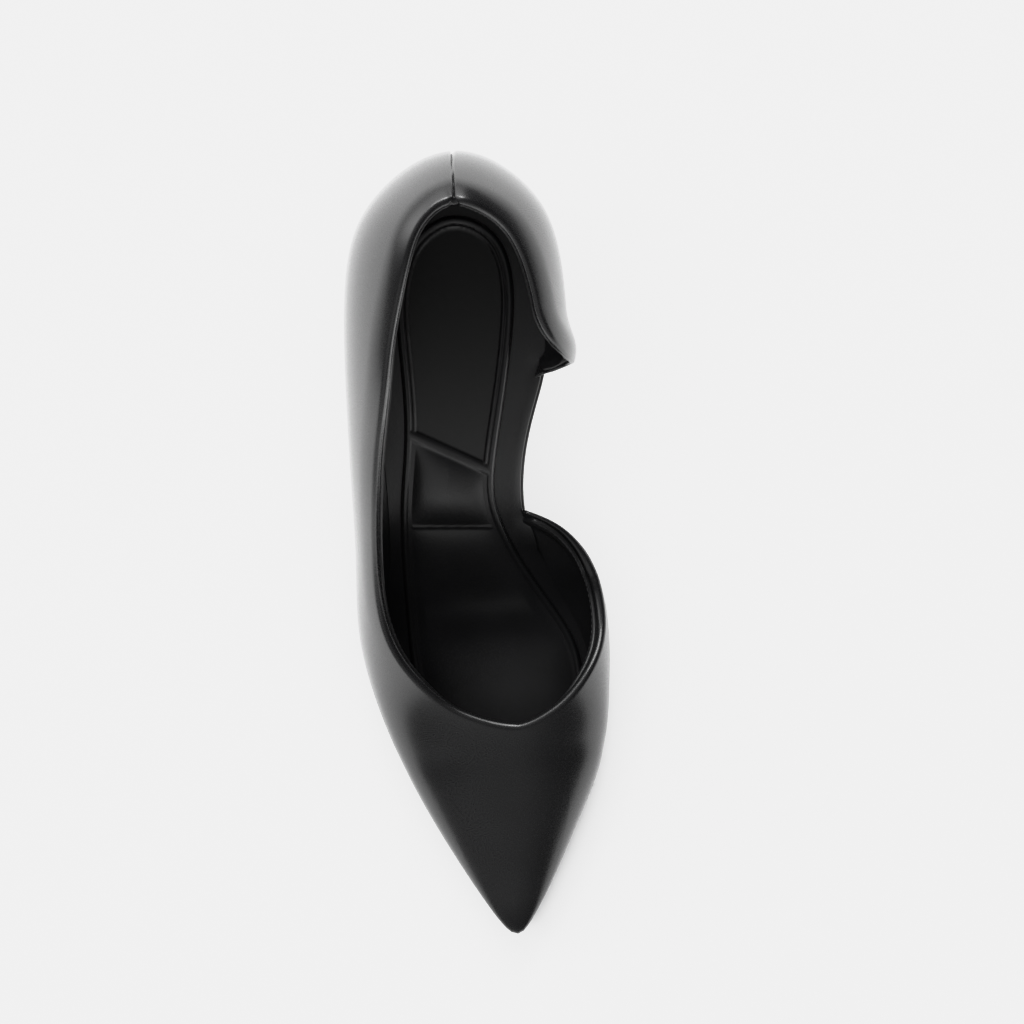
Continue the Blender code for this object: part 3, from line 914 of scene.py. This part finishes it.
outsole_mesh = plate_mesh(
    [BREAST * (i / SOLE_ROWS) ** TIP_CROWDING for i in range(SOLE_ROWS + 1)],
    lambda along: feather_edge(along, "outer", -SOLE_OVERHANG),
    lambda along: feather_edge(along, "inner", -SOLE_OVERHANG),
    across=16,
)
thicken(outsole_mesh, sole_underside, bottom_height)
round_edges(outsole_mesh, sharp_edges(outsole_mesh, 50), SOLE_EDGE_RADIUS, 3)
sole_leather = leather("sole_leather", SOLE_BLACK, roughness=0.42, grain=0.4 * MM, relief=0.25)
new_piece("leather_outsole", outsole_mesh, sole_leather, "outsole")

# Heel: a moulded stiletto core covered in the calf of the upper, drawn tight and glued. It is cupped
# to the heel seat and screwed on through the insole. The cover's edges meet down the breast.
TOP_PIECE_HEIGHT = 5.7 * MM
SEAT_GAP = 0.1 * MM
HEEL_ROWS = 44
SEAT_CROWDING = 1.7
STEEP = 0.3
BREAST_EDGE_RADIUS = 0.5 * MM

# drop is percent of the way down from the seat to the top piece, front and back are percent of the
# shoe's length, and width is percent of the seat's width.
HEEL_COLUMNS = ("drop", "front", "back", "width")
HEEL_LEVELS = (
    (0, 80.1, 97.85, 100.0),
    (4, 80.6, 97.3, 92.0),
    (10, 82.0, 96.2, 74.0),
    (20, 83.9, 95.0, 53.0),
    (32, 85.7, 94.1, 38.0),
    (48, 87.1, 93.3, 27.5),
    (70, 88.0, 92.7, 21.0),
    (100, 88.3, 92.5, 18.0),
)


def heel_seat(across):
    """The heel's outline under the foot, as a flat sheet, with its front, back and middle line."""
    start = BREAST + SEAT_GAP
    steps = 40
    places = [start + (LENGTH - start) * math.sin(math.pi / 2 * i / steps) for i in range(steps + 1)]
    mesh = plate_mesh(
        places,
        lambda along: feather_edge(along, "outer", 0.0),
        lambda along: feather_edge(along, "inner", 0.0),
        across,
    )
    corners = [vert.co for vert in mesh.verts]
    front = min(corner.y for corner in corners)
    back = max(corner.y for corner in corners)
    middle = (min(corner.x for corner in corners) + max(corner.x for corner in corners)) / 2
    return mesh, front, back, middle


heel_curves = {
    name: natural_spline(
        [math.sqrt(drop) for drop in column(HEEL_LEVELS, HEEL_COLUMNS, "drop")],
        column(HEEL_LEVELS, HEEL_COLUMNS, name),
    )
    for name in HEEL_COLUMNS[1:]
}
heel_mesh, seat_front, seat_back, heel_middle = heel_seat(across=14)
seat_plan = {}
for vert in heel_mesh.verts:
    seat_plan[vert] = ((vert.co.y - seat_front) / (seat_back - seat_front), vert.co.x - heel_middle)
    vert.co.z = bottom_height(vert.co.y)
loop = [edge for edge in heel_mesh.edges if edge.is_boundary]
for level in range(1, HEEL_ROWS + 1):
    drop = 100 * (level / HEEL_ROWS) ** SEAT_CROWDING
    root = math.sqrt(drop)
    front = LENGTH * heel_curves["front"](root) / 100
    back = LENGTH * heel_curves["back"](root) / 100
    above = {vert for edge in loop for vert in edge.verts}
    moved = bmesh.ops.extrude_edge_only(heel_mesh, edges=loop)["geom"]
    loop = only(bmesh.types.BMEdge, moved)
    for vert in only(bmesh.types.BMVert, moved):
        source = next(
            other for other in (edge.other_vert(vert) for edge in vert.link_edges) if other in above
        )
        share, side = seat_plan[source]
        seat_plan[vert] = seat_plan[source]
        seat_height = bottom_height(seat_front + share * (seat_back - seat_front))
        vert.co.x = heel_middle + side * heel_curves["width"](root) / 100
        vert.co.y = front + share * (back - front)
        vert.co.z = seat_height + drop / 100 * (TOP_PIECE_HEIGHT - seat_height)
bmesh.ops.holes_fill(heel_mesh, edges=loop, sides=0)
bmesh.ops.recalc_face_normals(heel_mesh, faces=heel_mesh.faces[:])
breast_edges = [
    edge for edge in sharp_edges(heel_mesh, 45)
    if abs(edge.verts[0].co.z - edge.verts[1].co.z) > STEEP * edge.calc_length()
]
round_edges(heel_mesh, breast_edges, BREAST_EDGE_RADIUS, 4)
new_piece("covered_heel", heel_mesh, calf, "heel")

# Top piece: a block of hard black rubber moulded on a steel pin that is driven up into the stem.
# It is a little wider than the stem, with a scoured rim.
TOP_PIECE_LIP = 0.4 * MM
TOP_PIECE_EDGE_RADIUS = 0.4 * MM
STEM_HALF_WIDTH = 5 * MM
RUBBER_BLACK = (0.008, 0.008, 0.008)
top_piece_mesh, seat_front, seat_back, heel_middle = heel_seat(across=10)
stem = dict(zip(HEEL_COLUMNS, HEEL_LEVELS[-1]))
stem_front = LENGTH * stem["front"] / 100 - TOP_PIECE_LIP
stem_back = LENGTH * stem["back"] / 100 + TOP_PIECE_LIP
width_share = stem["width"] / 100 * (1 + TOP_PIECE_LIP / STEM_HALF_WIDTH)
for vert in top_piece_mesh.verts:
    share = (vert.co.y - seat_front) / (seat_back - seat_front)
    vert.co.x = heel_middle + (vert.co.x - heel_middle) * width_share
    vert.co.y = stem_front + share * (stem_back - stem_front)
thicken(top_piece_mesh, lambda along: 0.0, lambda along: TOP_PIECE_HEIGHT)
round_edges(top_piece_mesh, sharp_edges(top_piece_mesh, 50), TOP_PIECE_EDGE_RADIUS, 3)
rubber = leather("top_piece_rubber", RUBBER_BLACK, roughness=0.55, grain=0.3 * MM, relief=0.2)
new_piece("rubber_top_piece", top_piece_mesh, rubber, "top_piece")

# Sock lining: soft black leather over foam, pressed into panels with a raised round border, and glued
# on the insole. The heel panel is flat and recessed, the arch and the forefoot are pillows. The heel
# panel's leather is the sock's, coloured far darker as painted shade of its recess.
SOCK_BLACK = (0.0045, 0.0045, 0.0048)
# The heel panel's colour is the sock's leather made far darker: painted shade for the recessed panel.
PANEL_PAINTED_SHADE = (0.0008, 0.0008, 0.0009)
SOCK_BASE = 2.0 * MM
SOCK_EDGE = 0.5 * MM
BORDER_WIDTH = 3.4 * MM
BEAD_MIDDLE = 1.2 * MM
BEAD_HALF_WIDTH = 1.05 * MM
BEAD_HEIGHT = 0.7 * MM
RIB_MIDDLE = 2.95 * MM
RIB_HALF_WIDTH = 0.4 * MM
RIB_HEIGHT = 0.35 * MM
SLANT_HALF_WIDTH = 1.5 * MM
HEEL_PANEL_DEPTH = 0.45 * MM
PANEL_STEP = 0.4 * MM
PILLOW_HEIGHT = 1.4 * MM
PILLOW_SWELL = 3.2 * MM
ARCH_DOME = 2.4 * MM
ARCH_DOME_SWELL = 6.0 * MM
CHANNEL_HALF_WIDTH = 1.0 * MM
CHANNEL_BEAD = 0.35 * MM
CHANNEL_BEAD_HALF_WIDTH = 0.45 * MM
BALL_RIDGE_ALONG = 98.9 * MM
BALL_RIDGE_HALF_WIDTH = 5.0 * MM
BALL_RIDGE_HEIGHT = 1.1 * MM
BALL_RIDGE_MARGIN = 3 * MM
GLUE_GAP = 0.05 * MM

# The sock's outline: along from its front to its back, and the side of each edge, in millimetres
SOCK_COLUMNS = ("along", "outer", "inner")
SOCK_EDGES = (
    (21.0, 0.6, 0.6),
    (24.0, -4.0, 5.0),
    (30.0, -8.5, 9.5),
    (45.0, -16.5, 18.5),
    (60.0, -22.0, 24.4),
    (75.0, -25.2, 26.6),
    (89.0, -26.3, 24.8),
    (102.5, -26.2, 17.8),
    (115.6, -25.8, 10.4),
    (125.0, -25.3, 6.4),
    (134.0, -24.4, 4.2),
    (145.0, -22.6, 5.1),
    (157.0, -20.9, 7.8),
    (169.0, -20.3, 10.6),
    (180.0, -20.3, 12.8),
    (191.0, -20.0, 14.3),
    (203.0, -17.4, 13.6),
    (209.8, -13.8, 10.6),
    (213.8, -9.2, 6.2),
    (216.2, -1.5, -1.5),
)
SOCK_FRONT = SOCK_EDGES[0][0] * MM
SOCK_BACK = SOCK_EDGES[-1][0] * MM
PRESSED_ROWS = ((123.5, 131.0), (141.0, 157.0))
PLAIN_ROW = 0.65 * MM
FINE_ROW = 0.33 * MM
END_ROW = 0.03 * MM
END_GROWTH = 0.12

# Middle of the slanted border in front of the heel panel, and of the channel behind the forefoot, each as
# two points (side, along)
SLANT = ((-17.8 * MM, 154.2 * MM), (1.2 * MM, 143.8 * MM))
CHANNEL = ((-22.9 * MM, 128.1 * MM), (3.8 * MM, 126.0 * MM))


def sock_turn(along):
    """Half a turn from the sock's front to its back, so that its outline closes round at both ends."""
    return math.acos(min(1.0, max(-1.0, 1 - 2 * (along - SOCK_FRONT) / (SOCK_BACK - SOCK_FRONT))))


sock_sides = {
    name: natural_spline(
        [sock_turn(along * MM) for along in column(SOCK_EDGES, SOCK_COLUMNS, "along")],
        column(SOCK_EDGES, SOCK_COLUMNS, name),
    )
    for name in SOCK_COLUMNS[1:]
}


def sock_edge(along, side):
    return np.array([sock_sides[side](sock_turn(along)) * MM, along])


def behind(line, x, y):
    """How far a point lies behind a line across the foot, towards the heel."""
    (x0, y0), (x1, y1) = line
    return ((x1 - x0) * (y - y0) - (y1 - y0) * (x - x0)) / math.hypot(x1 - x0, y1 - y0)


def bead(distance, half_width):
    """A round bead, 1 on its middle line and 0 past its half width."""
    share = min(1.0, abs(distance) / half_width)
    return (1 - share * share) ** 0.8


def border(to_edge):
    """The round bead along the sock's edge, which falls to the insole on its outer side."""
    if to_edge > BEAD_MIDDLE:
        return BEAD_HEIGHT * bead(to_edge - BEAD_MIDDLE, BEAD_HALF_WIDTH)
    fall = BEAD_HEIGHT + SOCK_BASE - SOCK_EDGE
    return BEAD_HEIGHT - fall * (1 - to_edge / BEAD_MIDDLE) ** 2.2


def pillow(*margins):
    """A panel that swells away from each of its borders."""
    return PILLOW_HEIGHT * math.prod(1 - math.exp(-max(0.0, margin) / PILLOW_SWELL) for margin in margins)


def arch_dome(inside_border, share):
    """The arch's own swelling, highest half-way from the channel to the slanted border."""
    return ARCH_DOME * 4 * share * (1 - share) * (1 - math.exp(-max(0.0, inside_border) / ARCH_DOME_SWELL))


def ball_ridge(y):
    """A soft ridge across the ball of the foot."""
    return BALL_RIDGE_HEIGHT * math.exp(-((y - BALL_RIDGE_ALONG) / BALL_RIDGE_HALF_WIDTH) ** 2)


def sock_relief(x, y, to_edge):
    """Height of the pressed leather over the sock's base."""
    behind_slant = behind(SLANT, x, y)
    behind_channel = behind(CHANNEL, x, y)
    inside_border = to_edge - BORDER_WIDTH
    relief = border(to_edge)
    if to_edge > BEAD_MIDDLE:
        relief = max(relief, BEAD_HEIGHT * bead(behind_slant, SLANT_HALF_WIDTH))
    if behind_slant > 0:
        panel = min(inside_border, behind_slant - SLANT_HALF_WIDTH)
        relief -= HEEL_PANEL_DEPTH * ease(panel, (0.0, PANEL_STEP))
        if behind_slant > SLANT_HALF_WIDTH:
            relief += RIB_HEIGHT * bead(to_edge - RIB_MIDDLE, RIB_HALF_WIDTH)
    elif behind_channel > 0:
        to_slant = -behind_slant - SLANT_HALF_WIDTH
        to_channel = behind_channel - CHANNEL_HALF_WIDTH
        relief += pillow(inside_border, to_slant, to_channel)
        relief += arch_dome(inside_border, behind_channel / (behind_channel - behind_slant))
    else:
        relief += pillow(inside_border, -behind_channel - CHANNEL_HALF_WIDTH)
        relief += ease(inside_border, (0.0, BALL_RIDGE_MARGIN)) * ball_ridge(y)
    if inside_border > 0:
        relief += CHANNEL_BEAD * bead(behind_channel, CHANNEL_BEAD_HALF_WIDTH)
    return relief


def sock_rows():
    """Places along the sock, close together at its ends, the slanted border and the channel."""
    places = [SOCK_FRONT]
    while places[-1] < SOCK_BACK:
        place = places[-1]
        to_end = min(place - SOCK_FRONT, SOCK_BACK - place)
        pressed = any(start < place / MM < end for start, end in PRESSED_ROWS)
        step = min(FINE_ROW if pressed else PLAIN_ROW, END_ROW + END_GROWTH * to_end)
        places.append(min(SOCK_BACK, place + step))
    return places


sock_mesh = plate_mesh(
    sock_rows(),
    lambda along: sock_edge(along, "outer"),
    lambda along: sock_edge(along, "inner"),
    across=110,
    crowding=0.55,
)
outline = [vert.co.copy() for vert in sock_mesh.verts if vert.is_boundary]
outline_tree = KDTree(len(outline))
for i, place in enumerate(outline):
    outline_tree.insert(place, i)
outline_tree.balance()
swelling = sock_mesh.verts.layers.float.new("swelling")
underside = sock_mesh.verts[:]
for vert in underside:
    to_edge = outline_tree.find(vert.co)[2]
    vert[swelling] = SOCK_BASE + sock_relief(vert.co.x, vert.co.y, to_edge)
face_side = bmesh.ops.extrude_face_region(sock_mesh, geom=sock_mesh.faces[:])["geom"]
for vert in underside:
    vert.co.z = insole_top(vert.co.y) + GLUE_GAP
for vert in only(bmesh.types.BMVert, face_side):
    vert.co.z = insole_top(vert.co.y) + vert[swelling]
bmesh.ops.recalc_face_normals(sock_mesh, faces=sock_mesh.faces[:])
# Faces of the heel panel inside its rib take the darker copy of the leather, which is painted shade of the
# recess.
for face in sock_mesh.faces:
    x, y, _ = face.calc_center_median()
    inside_rib = outline_tree.find((x, y, 0.0))[2] > RIB_MIDDLE + RIB_HALF_WIDTH
    if inside_rib and behind(SLANT, x, y) > SLANT_HALF_WIDTH:
        face.material_index = 1
sock_leather = leather("sock_leather", SOCK_BLACK, roughness=0.34, grain=0.55 * MM, relief=0.25)
sock = new_piece("padded_sock", sock_mesh, sock_leather, "sock_lining")
# The heel panel's material is the sock's leather with a much darker colour, painted shade rather than a
# different leather.
heel_panel_painted_shade = leather("heel_panel_painted_shade", PANEL_PAINTED_SHADE, roughness=0.42, grain=0.4 * MM, relief=0.15)
sock.data.materials.append(heel_panel_painted_shade)

# Stage: a pale plain floor under soft boxes, seen from straight above with the toe towards the viewer.
FLOOR_HALF_WIDTH = 4.0
floor_mesh = bmesh.new()
bmesh.ops.create_grid(floor_mesh, x_segments=1, y_segments=1, size=FLOOR_HALF_WIDTH)
floor_data = bpy.data.meshes.new("floor")
floor_mesh.to_mesh(floor_data)
floor_mesh.free()
floor = bpy.data.objects.new("floor", floor_data)
bpy.context.scene.collection.objects.link(floor)
paper = bpy.data.materials.new("pale_paper")
paper.use_nodes = True
paper_shader = paper.node_tree.nodes["Principled BSDF"]
paper_shader.inputs["Base Color"].default_value = (0.8, 0.8, 0.8, 1.0)
paper_shader.inputs["Roughness"].default_value = 0.75
paper_shader.inputs["Specular IOR Level"].default_value = 0.2
floor_data.materials.append(paper)

# Each soft box: its name, its place, its size, its watts and whether it is seen in the shine
SOFT_BOXES = (
    ("heel_box", (-0.1, 1.3, 1.35), 0.75, 14.0, True),
    ("side_box", (0.4, 1.35, 1.3), 0.8, 14.0, True),
    ("top_box", (-0.15, 0.1, 1.6), 1.6, 41.0, False),
)
for name, place, size, watts, mirrored in SOFT_BOXES:
    lamp = bpy.data.lights.new(name, "AREA")
    lamp.shape = "SQUARE"
    lamp.size = size
    lamp.energy = watts
    box = bpy.data.objects.new(name, lamp)
    box.location = place
    box.rotation_euler = (-Vector(place)).to_track_quat("-Z", "Y").to_euler()
    box.visible_camera = False
    box.visible_glossy = mirrored
    bpy.context.scene.collection.objects.link(box)

# The room round the set: dark, with a glow past the toe, one overhead and two bright ones behind, to the
# outer side and past the heel.
# Each glow has a direction, a strength and its fall-off by the cosine of the angle from that direction.
GLOWS = (
    ((-0.19, -0.955, 0.23), 0.62, ((0.3, 0.03), (0.7, 0.13), (0.82, 0.33), (0.9, 0.54), (1.0, 1.0))),
    ((0.0, 0.0, 1.0), 0.22, ((0.86, 0.0), (1.0, 1.0))),
    ((-0.72, 0.5, 0.48), 4.0, ((0.6, 0.0), (0.8, 0.12), (0.9, 0.4), (1.0, 1.0))),
    ((-0.1, 0.95, 0.3), 2.2, ((0.8, 0.0), (0.92, 0.35), (1.0, 1.0))),
)
world = bpy.data.worlds.new("studio")
world.use_nodes = True
room_nodes = world.node_tree.nodes
room_links = world.node_tree.links
direction = room_nodes.new("ShaderNodeTexCoord")
light_so_far = None
for middle, strength, fall_off in GLOWS:
    cosine = room_nodes.new("ShaderNodeVectorMath")
    cosine.operation = "DOT_PRODUCT"
    cosine.inputs[1].default_value = middle
    ramp = room_nodes.new("ShaderNodeValToRGB")
    stops = ramp.color_ramp.elements
    for _ in fall_off[2:]:
        stops.new(0.5)
    for stop, (place, white) in zip(stops, fall_off):
        stop.position = place
        stop.color = (white, white, white, 1.0)
    added = room_nodes.new("ShaderNodeVectorMath")
    added.operation = "MULTIPLY_ADD"
    added.inputs[1].default_value = (strength, strength, strength)
    room_links.new(direction.outputs["Generated"], cosine.inputs[0])
    room_links.new(cosine.outputs["Value"], ramp.inputs["Fac"])
    room_links.new(ramp.outputs["Color"], added.inputs[0])
    if light_so_far:
        room_links.new(light_so_far, added.inputs[2])
    light_so_far = added.outputs["Vector"]
room_links.new(light_so_far, room_nodes["Background"].inputs["Color"])
bpy.context.scene.world = world

# Exposure: shadows and middle tones as they are, and the lit floor rolled off to a pale grey
BRIGHTEST = 3.0
TONES = ((0.0, 0.0), (0.25, 0.25), (0.5, 0.56), (0.75, 0.79), (1.0, 0.833), (3.0, 0.848))
view = bpy.context.scene.view_settings
view.view_transform = "Standard"
view.use_curve_mapping = True
view.curve_mapping.white_level = (BRIGHTEST, BRIGHTEST, BRIGHTEST)
tones = view.curve_mapping.curves[3].points
for _ in TONES[2:]:
    tones.new(0.5, 0.5)
for tone, (light, shown) in zip(tones, TONES):
    tone.location = (light / BRIGHTEST, shown)
view.curve_mapping.update()

# Camera: its place and turn put the shoe where it lies in the picture
CAMERA_PLACE = (11.55 * MM, 13.45 * MM, 1.15)
CAMERA_TURN = -0.0811
LENS = 129.1
SENSOR = 36.0
camera_data = bpy.data.cameras.new("camera")
camera_data.lens = LENS
camera_data.sensor_width = SENSOR
camera = bpy.data.objects.new("camera", camera_data)
camera.location = CAMERA_PLACE
camera.rotation_euler = (0.0, 0.0, CAMERA_TURN)
bpy.context.scene.collection.objects.link(camera)
bpy.context.scene.camera = camera

bpy.context.view_layer.update()
